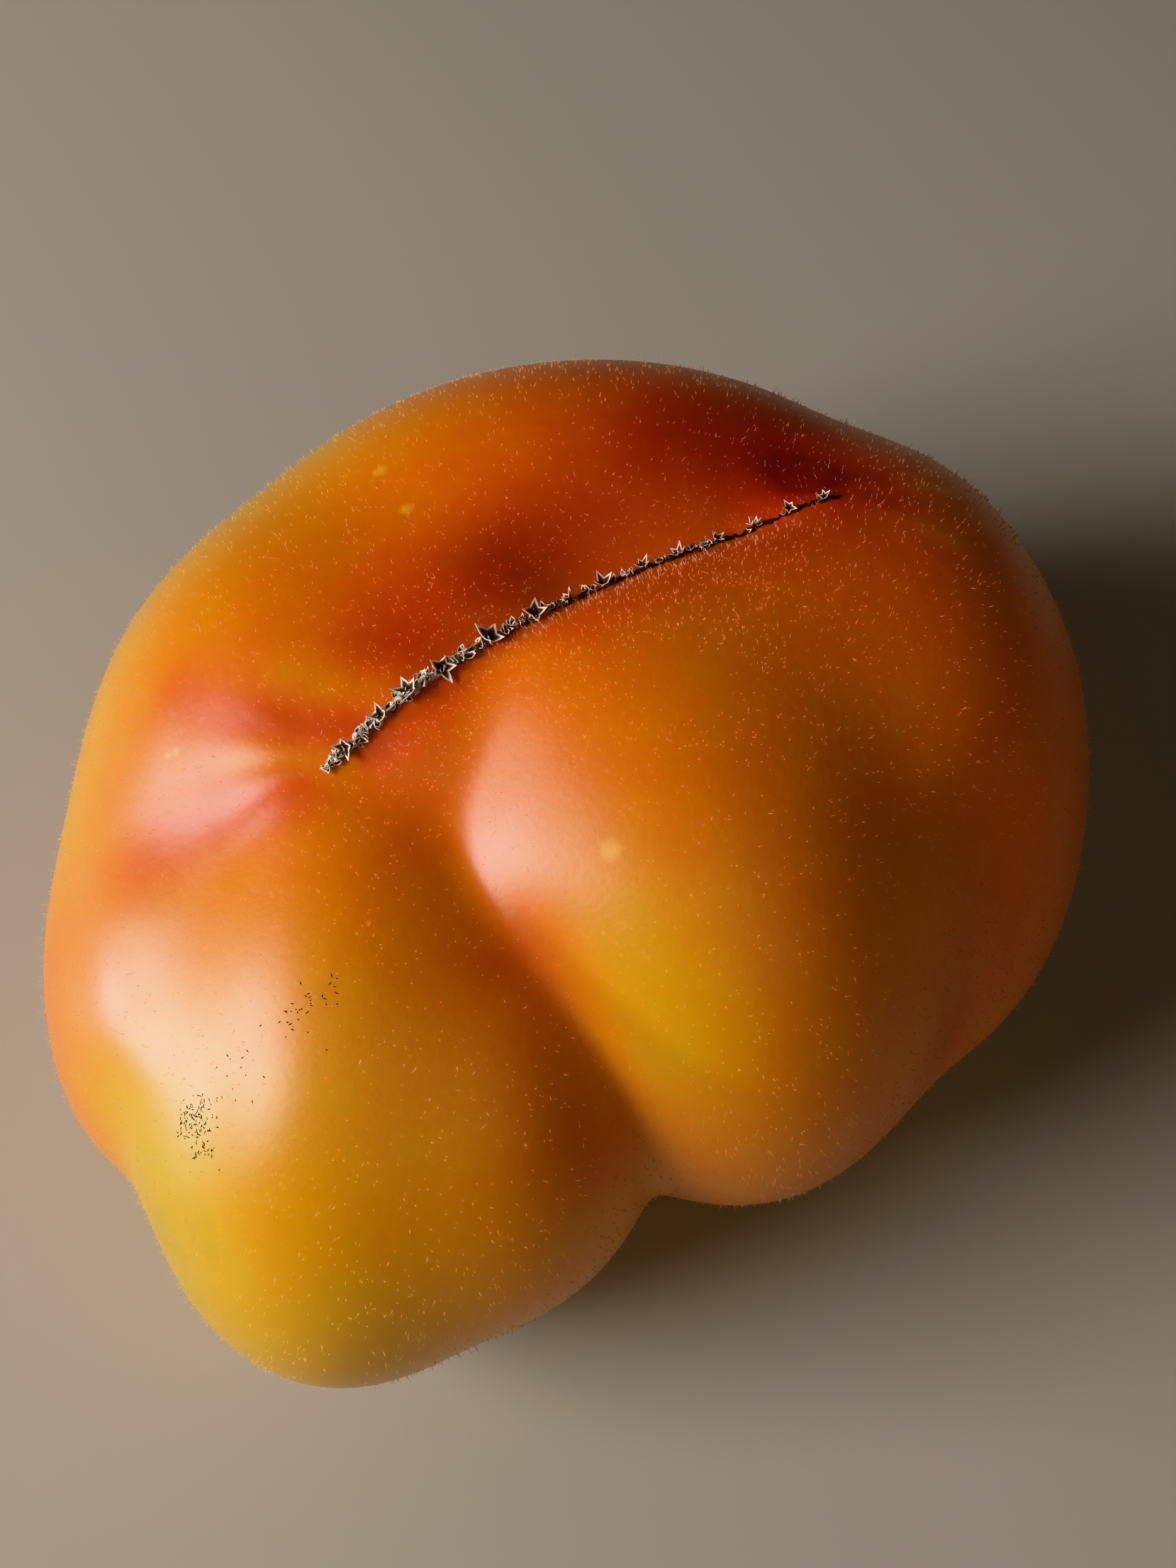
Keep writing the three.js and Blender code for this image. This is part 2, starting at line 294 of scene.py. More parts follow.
@dataclass(frozen=True)
class Lobe:
    """An egg-shaped lobe of the fruit, in millimetres and degrees."""

    middle: tuple[float, float, float]
    half: tuple[float, float, float]
    turn: float = 0.0
    tip: float = 0.0

    def distance(self, points: np.ndarray) -> np.ndarray:
        """About how far points are outside the lobe.

        Args:
            points: an array of points, in millimetres.

        Returns:
            Their distances, negative inside.
        """
        a, b = math.radians(self.turn), math.radians(self.tip)
        off = points - np.array(self.middle)
        across = math.cos(a) * off[:, 0] + math.sin(a) * off[:, 1]
        level = -math.sin(a) * off[:, 0] + math.cos(a) * off[:, 1]
        along = math.cos(b) * level + math.sin(b) * off[:, 2]
        up = -math.sin(b) * level + math.cos(b) * off[:, 2]
        own = np.stack([across, along, up], 1)
        scaled = np.linalg.norm(own / self.half, axis=1)
        slope = np.linalg.norm(own / np.square(self.half), axis=1)
        return scaled * (scaled - 1) / np.maximum(slope, 1e-9)


@dataclass(frozen=True)
class Valley:
    """A shallow valley in the skin, along a route, or a low swelling where the depth is negative."""

    route: list
    depth: float
    half: float

    def press(self, points: np.ndarray) -> np.ndarray:
        """How deep the valley presses the skin in.

        Args:
            points: an array of points, in millimetres.

        Returns:
            The depth at each point.
        """
        away, share = route_distance(points, self.route)
        ends = step_between(share, 0, VALLEY_FADE_IN) * step_between(share, VALLEY_FADE_OUT, 1, Way.DOWN)
        return self.depth * np.exp(-((away / self.half) ** 2)) * ends


@dataclass(frozen=True)
class Pucker:
    """Fine creases that fan out from an end of the scar."""

    middle: tuple[float, float, float]
    heading: float
    creases: int
    depth: float
    reach: float
    spread: float

    def press(self, points: np.ndarray) -> np.ndarray:
        """How deep the creases press the skin in.

        Args:
            points: an array of points, in millimetres.

        Returns:
            The depth at each point.
        """
        off = points - np.array(self.middle)
        away = np.linalg.norm(off, axis=1)
        angle = np.arctan2(off[:, 1], off[:, 0]) - math.radians(self.heading)
        angle = (angle + math.pi) % (2 * math.pi) - math.pi
        fan = np.exp(-((angle / math.radians(self.spread)) ** 2))
        near = step_between(away, *PUCKER_START) * np.exp(-((away / self.reach) ** 2))
        return self.depth * (0.5 - 0.5 * np.cos(self.creases * angle)) * fan * near


@dataclass(frozen=True)
class SoftZone:
    """A soft patch of the skin, where it is riper, less ripe or hairier than round it."""

    route: list
    reach: float
    amount: float

    def add(self, points: np.ndarray) -> np.ndarray:
        """What the zone adds at each point."""
        away = route_distance(points, self.route)[0]
        return self.amount * np.exp(-((away / self.reach) ** 2))


FRONT_RIGHT_LOBES = [
    Lobe((9, -11.5, 33), (24.5, 33, 32), 21, 24),
    Lobe((-3, -3, 34), (14, 11, 27), 28, 0),
    Lobe((-5.5, -15.5, 36.5), (12.5, 11, 20.5), 20, 10),
    Lobe((21.5, 3, 32), (28, 27, 31)),
    Lobe((26, -7, 24), (22, 21, 21), 0, 20),
]
BACK_AND_LEFT_LOBES = [
    Lobe((1, 18, 31), (40, 28, 32), 0, -8),
    Lobe((-9, 3.5, 31), (20, 16.5, 31)),
    Lobe((-25, 0, 30), (27, 31, 30.3)),
    Lobe((-38.5, -19, 26), (15.5, 23, 24)),
    Lobe((-20.5, -27.5, 29), (22, 33, 28.2), -11, 24),
    Lobe((-9, -31, 28), (17, 22, 25), 0, 14),
]
VALLEYS = [
    Valley([(-22, -9, 59), (-27, -8.5, 61), (-32, -7, 60), (-40, -5, 56)], 0.25, 6),
    Valley([(-26, -14, 59), (-35, -16, 55), (-42, -20, 50), (-50, -24, 40)], 0.6, 7.5),
    Valley([(-40, -33, 47), (-43, -38, 36), (-43, -40, 24), (-43, -43, 8)], 1.1, 6),
    Valley([(-41, -14, 51), (-41, -28, 49), (-40, -38, 45), (-37, -52, 36)], -0.6, 8),
    Valley([(34, -8, 57), (37, -14, 52), (39, -20, 45), (37, -29, 25)], 1.2, 7),
    Valley([(19, 8, 64), (24, -2, 64), (28, -11, 61), (30, -20, 56), (29, -36, 38), (25, -39, 22)], 0.3, 8),
]
PUCKERS = [
    Pucker((-22, -12, 59), 190, 16, 0.12, 13, 50),
    Pucker((25, 16, 60), 10, 18, 0.2, 12, 45),
]
COLOUR_ZONES = [
    SoftZone([(-16, 1, 59), (-5, 11, 60), (8, 21, 61), (20, 23, 59)], 11, 0.17),
    SoftZone([(-18, -3, 60), (-13, 5, 60)], 6, 0.11),
    SoftZone([(-7, 9, 60), (-1, 12, 60)], 5, 0.09),
    SoftZone([(8, 23, 61), (20, 21, 59)], 6, 0.15),
    SoftZone([(2, 30, 60), (20, 28, 57)], 12, 0.08),
    SoftZone([(0, 0, 64), (12, 8, 63), (22, 12, 62)], 5, 0.06),
    SoftZone([(-21, -9.5, 60), (-32, -7.5, 59), (-38, -4, 57)], 3.0, 0.16),
    SoftZone([(-26, -14.5, 59), (-34, -16, 55), (-40, -18, 50)], 3.4, 0.16),
    SoftZone([(-22, -12.5, 60), (-31, -11, 58)], 1.8, -0.14),
    SoftZone([(-19, -6, 60), (-27, -4.5, 62)], 2.8, -0.18),
    SoftZone([(-15, -14, 61), (-15, -19, 60)], 4, 0.06),
    SoftZone([(-15, -22, 60), (-11, -28, 58)], 8, 0.07),
    SoftZone([(30, 14, 60), (42, -5, 50), (40, -24, 34)], 16, 0.13),
    SoftZone([(14, -6, 64), (22, -16, 60)], 12, 0.03),
    SoftZone([(-27, -46, 53), (-30, -52, 42), (-22, -56, 38)], 20, -0.22),
    SoftZone([(-40, -40, 42), (-36, -50, 30)], 12, -0.22),
    SoftZone([(6, -36, 54), (3, -30, 58)], 9, -0.26),
    SoftZone([(14, -43, 41), (6, -44, 40)], 9, -0.06),
    SoftZone([(-50, -8, 42), (-42, 14, 48), (-28, 30, 48)], 13, -0.24),
    # Redder skin beside the front furrow: partly the skin's own colour, partly painted shade and painted red
    # light bounced inside the furrow.
    SoftZone([(-1, -42, 44), (-5, -30, 54)], 6, 0.2),
    SoftZone([(-18, -11.5, 60), (-12, -6.5, 62)], 2.2, 0.09),
    SoftZone([(0, 1, 64), (14, 7, 63), (24, 5, 63)], 6, 0.07),
    SoftZone([(20, 18.5, 60), (27, 16.5, 59.5)], 4, 0.2),
    SoftZone([(26, 16.5, 59.5), (34, 18.5, 57)], 1.5, -0.14),
    SoftZone([(26, 13.5, 60), (34, 11, 60)], 1.5, -0.12),
]
BASE_RIPENESS = 0.46
STEM_END_RIPENESS = 0.16
HAIRY_ZONES = [
    SoftZone([(-22, -12, 59), (-8, 4, 60), (8, 13, 60), (24, 15, 59)], 8, 1.3),
    SoftZone([(-8, -8, 62), (4, -4, 64), (14, 2, 63)], 9, 3.5),
]
SPECKS = [
    (-20.3, 20.0, 59.5, 0.85),
    (-17.3, 14.2, 61.2, 0.8),
    (1.8, -22.5, 62.5, 1.0),
    (-37.6, -9.2, 55.7, 0.5),
    (-38.4, -9.4, 55.3, 0.5),
]
SCRATCHED = [
    (-33.8, -41.3, 0.9, 110),
    (-33.2, -43.6, 0.8, 40),
    (-29.6, -38.8, 1.4, 14),
    (-24.9, -35.4, 1.3, 16),
    (-22.6, -33.2, 0.9, 18),
]


@dataclass
class Fruit:
    """The fruit's form in its growing frame, in millimetres, and the skin that dresses it."""

    front_right_blend: float = 4.0
    back_and_left_blend: float = 3.0
    furrow_blend: float = 0.8
    right_end_blend: float = 7.0
    right_end: tuple[float, float] = (14, 42)
    fork: tuple[float, float, float] = (-16, -8, 58)
    fork_blend: float = 4.0
    fork_reach: float = 8.0
    underside_blend: float = 6.0
    underside_top: float = 18.0
    scar_x: tuple[float, float] = (-23, 24)
    scar_start_y: float = -13.0
    scar_rise: float = 47.0
    scar_bow: float = 18.5
    fold_depth: float = 2.7
    fold_steep: float = 3.0
    fold_gentle: float = 9.0
    fold_full_from: float = 0.5
    fold_full_to: float = 0.76
    fold_heights: tuple[float, float] = (36, 50)
    stem: tuple[float, float] = (0, -3)
    hollow: Lobe = Lobe((0, -3, -7), (21, 18, 20), 20)
    hollow_lip: float = 5.0
    ribs: int = 9
    rib_depth: float = 1.1
    rib_low: float = 6.0
    rib_top: float = 30.0
    rib_sway: float = 0.6
    rib_inner: tuple[float, float] = (8, 20)
    stem_end_heights: tuple[float, float] = (6, 34)
    table_z: float = 1.1
    core: tuple[float, float, float] = (0, 0, 32)
    farthest: float = 75.0
    shift: np.ndarray = field(default_factory=lambda: np.zeros(3))
    fit: float = 1.0

    def scar_y(self, u: np.ndarray | float) -> np.ndarray | float:
        """The scar's place along Y, at a share u of its way along X."""
        return self.scar_start_y + self.scar_rise * u - self.scar_bow * u * u

    def fold_press(self, points: np.ndarray) -> np.ndarray:
        """How deep the scar's fold presses the skin in.

        Args:
            points: an array of points, in millimetres.

        Returns:
            The depth at each point.
        """
        low, high = self.scar_x
        u = np.clip((points[:, 0] - low) / (high - low), 0, 1)
        slope = (self.scar_rise - 2 * self.scar_bow * u) / (high - low)
        aside = (self.scar_y(u) - points[:, 1]) / np.hypot(1, slope)
        width = np.where(aside > 0, self.fold_steep, self.fold_gentle)
        ends = step_between(u, 0, self.fold_full_from) * step_between(u, self.fold_full_to, 1, Way.DOWN)
        high = step_between(points[:, 2], *self.fold_heights)
        return self.fold_depth * np.exp(-((aside / width) ** 2)) * ends * high

    def rib_press(self, points: np.ndarray) -> np.ndarray:
        """How deep the grooves between the shoulder's ribs are.

        Args:
            points: an array of points, in millimetres.

        Returns:
            The depth at each point.
        """
        x, y = points[:, 0] - self.stem[0], points[:, 1] - self.stem[1]
        angle = np.arctan2(y, x)
        wave = 0.5 + 0.5 * np.cos(self.ribs * angle + self.rib_sway * np.sin(2 * angle))
        low = step_between(points[:, 2], self.rib_low, self.rib_top, Way.DOWN)
        return self.rib_depth * wave**2 * low * step_between(np.hypot(x, y), *self.rib_inner)

    def distance(self, points: np.ndarray) -> np.ndarray:
        """About how far points are outside the fruit.

        Args:
            points: an array of points, in millimetres.

        Returns:
            Their distances, negative inside.
        """
        x, z = points[:, 0], points[:, 2]
        front_right = blended([lobe.distance(points) for lobe in FRONT_RIGHT_LOBES], self.front_right_blend)
        others = blended([lobe.distance(points) for lobe in BACK_AND_LEFT_LOBES], self.back_and_left_blend)
        from_fork = np.linalg.norm(points - np.array(self.fork), axis=1)
        reach = (
            self.furrow_blend
            + self.right_end_blend * step_between(x, *self.right_end)
            + self.fork_blend * np.exp(-((from_fork / self.fork_reach) ** 2))
            + self.underside_blend * step_between(z, 3, self.underside_top, Way.DOWN)
        )
        flesh = blended([front_right, others], reach) + self.fold_press(points) + self.rib_press(points)
        for crease in [*VALLEYS, *PUCKERS]:
            flesh = flesh + crease.press(points)
        hollowed = -blended([-flesh, self.hollow.distance(points)], self.hollow_lip)
        return np.maximum(hollowed, self.table_z - z)

    def skin_between(self, starts: np.ndarray, ends: np.ndarray, steps: int = 60) -> np.ndarray:
        """The first points of the skin on the ways from starts to ends.

        Args:
            starts: where each way starts, outside the fruit.
            ends: where each way ends, inside it.
            steps: how many steps look for the skin before it is closed in on.

        Returns:
            One point of the skin for each way.
        """
        outside = np.zeros(len(starts))
        inside = np.ones(len(starts))
        looking = np.arange(len(starts))
        for i in range(1, steps + 1):
            at = starts[looking] + (ends[looking] - starts[looking]) * i / steps
            met = self.distance(at) < 0
            inside[looking[met]] = i / steps
            looking = looking[~met]
            outside[looking] = i / steps
            if not len(looking):
                break
        for _ in range(14):
            half = (outside + inside) / 2
            met = self.distance(starts + (ends - starts) * half[:, None]) < 0
            inside = np.where(met, half, inside)
            outside = np.where(met, outside, half)
        return starts + (ends - starts) * inside[:, None]

    def above(self, x: np.ndarray, y: np.ndarray) -> np.ndarray:
        """Look for the skin from straight above.

        Args:
            x: how far right each place lies, in millimetres.
            y: how far back each place lies, in millimetres.

        Returns:
            The skin's point at each place.
        """
        high = np.stack([x, y, np.full(len(x), self.farthest)], 1)
        low = np.stack([x, y, np.full(len(x), self.core[2])], 1)
        return self.skin_between(high, low, 120)

    def normals(self, points: np.ndarray, reach: float = 0.15) -> np.ndarray:
        """The outward directions of the skin.

        Args:
            points: points of the skin, in millimetres.
            reach: how far round each point the form is looked at.

        Returns:
            The direction at each point.
        """
        steps = np.eye(3) * reach
        slope = [self.distance(points + step) - self.distance(points - step) for step in steps]
        out = np.stack(slope, 1)
        return out / np.linalg.norm(out, axis=1, keepdims=True)

    def to_part(self, points: np.ndarray) -> np.ndarray:
        """Points of the growing frame, in millimetres, as points of the part, in metres."""
        return (np.asarray(points, float) + self.shift) * self.fit * MM

    def ripeness(self, points: np.ndarray) -> np.ndarray:
        """How ripe the skin's colour is, from 0, yellow green, to 1, deep red; beside the front furrow part
        of the redness is painted shade and painted bounced light.

        Args:
            points: an array of points, in millimetres.

        Returns:
            The ripeness at each point.
        """
        low = step_between(points[:, 2], *self.stem_end_heights, Way.DOWN)
        base = BASE_RIPENESS + (STEM_END_RIPENESS - BASE_RIPENESS) * low
        ripe = base + sum(zone.add(points) for zone in COLOUR_ZONES)
        return np.clip(ripe, 0, 1)

    def build(self, finish: "SkinFinish", subdivisions: int) -> Object:
        """Make the skin: a fine ball whose points move in to the fruit's form.

        Args:
            finish: the skin's finish.
            subdivisions: how fine the ball is.

        Returns:
            The fruit's piece.
        """
        bm = bmesh.new()
        bmesh.ops.create_icosphere(bm, subdivisions=subdivisions, radius=1.0)
        ways = np.array([v.co for v in bm.verts])
        core = np.array(self.core, float)
        skin = self.skin_between(core + ways * self.farthest, np.broadcast_to(core, ways.shape))
        self.settle(skin)
        placed = self.to_part(skin)
        ripe = bm.verts.layers.float.new("ripeness")
        for vert, place, value in zip(bm.verts, placed, self.ripeness(skin)):
            vert.co = place
            vert[ripe] = value
        return finish_piece(bm, "tomato_skin", finish.material(self))

    def settle(self, skin: np.ndarray) -> None:
        """Set the shift and the fit that put the skin in the box of the frame's fruit.

        Args:
            skin: the skin's points, in millimetres.
        """
        low, high = skin.min(0), skin.max(0)
        box_low, box_high = (np.array(corner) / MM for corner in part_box("fruit"))
        middle = (box_low + box_high) / 2
        self.shift = np.array([*(middle - (low + high) / 2)[:2], box_low[2] - low[2]])
        self.fit = min(1.0, *((box_high - box_low) / (high - low)))


@dataclass(frozen=True)
class SkinFinish:
    """Ripe tomato skin: a thin waxy film over wet flesh.

    The film gives a satin gloss, the flesh lets light in a few millimetres deep, and the colour
    goes from yellow green at the stem end to deep red at the blossom scar.
    """

    ramp: tuple = (
        (0.0, "AEA010"),
        (0.15, "D8A60A"),
        (0.3, "E5930A"),
        (0.45, "E67A08"),
        (0.6, "DF5A07"),
        (0.75, "CA3A08"),
        (0.9, "B22508"),
        (1.0, "7A0F05"),
    )
    roughness: float = 0.4
    film_ior: float = 1.5
    coat: float = 1.0
    coat_ior: float = 1.5
    coat_roughness: float = 0.38
    light_depth: tuple = (3.5, 1.2, 0.4)
    light_inside: float = 0.3
    mottles: tuple = ((7.0, 0.14), (1.4, 0.05))
    grain_mm: float = 0.7
    grain_strength: float = 0.6
    grain_deep_mm: float = 0.05
    speck_colour: str = "F2B848"
    speck_strength: float = 0.8
    speck_core: float = 0.2
    speck_wobble: float = 0.6
    speck_ragged_mm: float = 0.909

    def paler(self, share: float, pale: str) -> list:
        """Move the ramp's colours towards a pale colour.

        Args:
            share: how far they move, from 0 to 1.
            pale: the pale colour, as hex digits.

        Returns:
            The moved ramp.
        """
        goal = [int(pale[i : i + 2], 16) for i in (0, 2, 4)]
        moved = []
        for place, hex_colour in self.ramp:
            own = [int(hex_colour[i : i + 2], 16) for i in (0, 2, 4)]
            moved.append((place, "".join(f"{round(c + (g - c) * share):02X}" for c, g in zip(own, goal))))
        return moved

    def spotted(self, tree: NodeTree, colour: NodeSocket, fruit: Fruit) -> NodeSocket:
        """Lay the pale specks over a colour.

        Args:
            tree: the node tree.
            colour: the skin's own colour.
            fruit: the fruit, whose frame places them.

        Returns:
            The spotted colour.
        """
        place = add_node(tree, "ShaderNodeTexCoord").outputs["Object"]
        ragged = grain_texture(tree, place, self.speck_ragged_mm)
        for x, y, z, radius in SPECKS:
            centre = tuple(fruit.to_part(np.array([x, y, z])))
            span = add_node(tree, "ShaderNodeVectorMath", {0: place, 1: centre}, operation="DISTANCE")
            away, reach = span.outputs["Value"], radius * MM
            wobbled = calculate(tree, "MULTIPLY_ADD", ragged, -self.speck_wobble * reach, away)
            edge = {"Value": wobbled, "From Min": self.speck_core * reach, "From Max": reach}
            strength = {"To Min": self.speck_strength, "To Max": 0.0}
            spot = add_node(tree, "ShaderNodeMapRange", {**edge, **strength}).outputs["Result"]
            layers = {"Factor": spot, "A": colour, "B": linear(self.speck_colour)}
            colour = add_node(tree, "ShaderNodeMix", layers, data_type="RGBA").outputs["Result"]
        return colour

    def material(self, fruit: Fruit) -> Material:
        """Make the skin's material.

        Args:
            fruit: the fruit, whose frame places the specks.

        Returns:
            The material.
        """
        material, tree, shader = new_material("tomato_skin")
        place = add_node(tree, "ShaderNodeTexCoord").outputs["Object"]
        ripe = add_node(tree, "ShaderNodeAttribute", attribute_name="ripeness").outputs["Fac"]
        for size_mm, strength in self.mottles:
            mottle = grain_texture(tree, place, size_mm)
            shade = calculate(tree, "MULTIPLY_ADD", mottle, strength, -strength / 2)
            ripe = calculate(tree, "ADD", ripe, shade)
        colour = self.spotted(tree, colour_ramp(tree, ripe, list(self.ramp)), fruit)
        tree.links.new(colour, shader.inputs["Base Color"])
        grain = grain_texture(tree, place, self.grain_mm)
        roughen(tree, shader, grain, self.grain_strength, self.grain_deep_mm)
        shader.inputs["Roughness"].default_value = self.roughness
        shader.inputs["IOR"].default_value = self.film_ior
        shader.inputs["Coat Weight"].default_value = self.coat
        shader.inputs["Coat Roughness"].default_value = self.coat_roughness
        shader.inputs["Coat IOR"].default_value = self.coat_ior
        shader.inputs["Subsurface Weight"].default_value = self.light_inside
        shader.inputs["Subsurface Radius"].default_value = self.light_depth
        shader.inputs["Subsurface Scale"].default_value = MM
        return material


@dataclass(frozen=True)
class CorkFinish:
    """Dry cork, as grown over a healed wound: matt, grey brown, with pale torn edges."""

    name: str = "blossom_cork"
    dark: str = "24140C"
    middle: str = "8E6A54"
    pale: str = "FFFAF0"
    places: tuple[float, float, float] = (0.05, 0.35, 0.6)
    grain_mm: float = 0.5
    grain_detail: float = 6.0
    grain_strength: float = 0.6
    grain_deep_mm: float = 0.1
    spread: float = 0.3
    roughness: float = 0.85

    def material(self) -> Material:
        """Make the cork's material, paler where the piece's paleness attribute is high; on the blossom seam
        that attribute also holds painted shade of the fold, lower towards the scar's right end.

        Returns:
            The material.
        """
        material, tree, shader = new_material(self.name)
        place = add_node(tree, "ShaderNodeTexCoord").outputs["Object"]
        pale = add_node(tree, "ShaderNodeAttribute", attribute_name="paleness_and_fold_shade").outputs["Fac"]
        grain = grain_texture(tree, place, self.grain_mm, self.grain_detail)
        spread = calculate(tree, "MULTIPLY_ADD", grain, self.spread, -self.spread / 2)
        total = calculate(tree, "ADD", pale, spread)
        colour = colour_ramp(tree, total, list(zip(self.places, (self.dark, self.middle, self.pale))))
        tree.links.new(colour, shader.inputs["Base Color"])
        roughen(tree, shader, grain, self.grain_strength, self.grain_deep_mm)
        shader.inputs["Roughness"].default_value = self.roughness
        return material


BLOSSOM_CORK = CorkFinish()
SCALE_CORK = CorkFinish("blossom_scales")
STEM_CORK = CorkFinish("stem_cork", "4A3820", "94794A", "C9B27C")
SCRATCHED_SKIN = CorkFinish("scratched_skin", "1A100A", "6B4A30", "8E6A54")


@dataclass(frozen=True)
class HairFinish:
    """Plant hair: a fine, nearly clear thread, a little paler than the skin that it stands on."""

    pale: str = "FFF0DC"
    share: float = 0.74
    light_through: float = 0.5
    roughness: float = 0.5
    thread_ior: float = 1.4

    def material(self, skin: SkinFinish) -> Material:
        """Make the hair's material: the thin thread takes much of its colour and light from below.

        Args:
            skin: the finish of the skin that the hairs stand on.

        Returns:
            The material.
        """
        material, tree, shader = new_material("skin_hair")
        ripe = add_node(tree, "ShaderNodeAttribute", attribute_name="ripeness").outputs["Fac"]
        colour = colour_ramp(tree, ripe, skin.paler(self.share, self.pale))
        tree.links.new(colour, shader.inputs["Base Color"])
        through = add_node(tree, "ShaderNodeBsdfTranslucent", {"Color": colour})
        ways = {0: self.light_through, 1: shader.outputs["BSDF"], 2: through.outputs["BSDF"]}
        both = add_node(tree, "ShaderNodeMixShader", ways)
        tree.links.new(both.outputs["Shader"], tree.nodes["Material Output"].inputs["Surface"])
        shader.inputs["Roughness"].default_value = self.roughness
        shader.inputs["IOR"].default_value = self.thread_ior
        return material


@dataclass(frozen=True)
class StarShape:
    """The proportions of one dry scale, most of them as shares of its radius."""

    rim_parts: int = 4
    band: float = 0.14
    reach: tuple[float, float] = (0.75, 1.3)
    curl: tuple[float, float] = (0.25, 0.85)
    sharpness: float = 1.6
    waist: float = 0.5
    rim_height: float = 0.12
    hollow_reach: float = 0.62
    hollow_height: float = 0.35
    heart_depth: float = 0.25
    thickness: float = 0.08
    rim_paleness: float = 0.8
    tip_paleness: float = 0.25
    hollow_paleness: float = 0.16


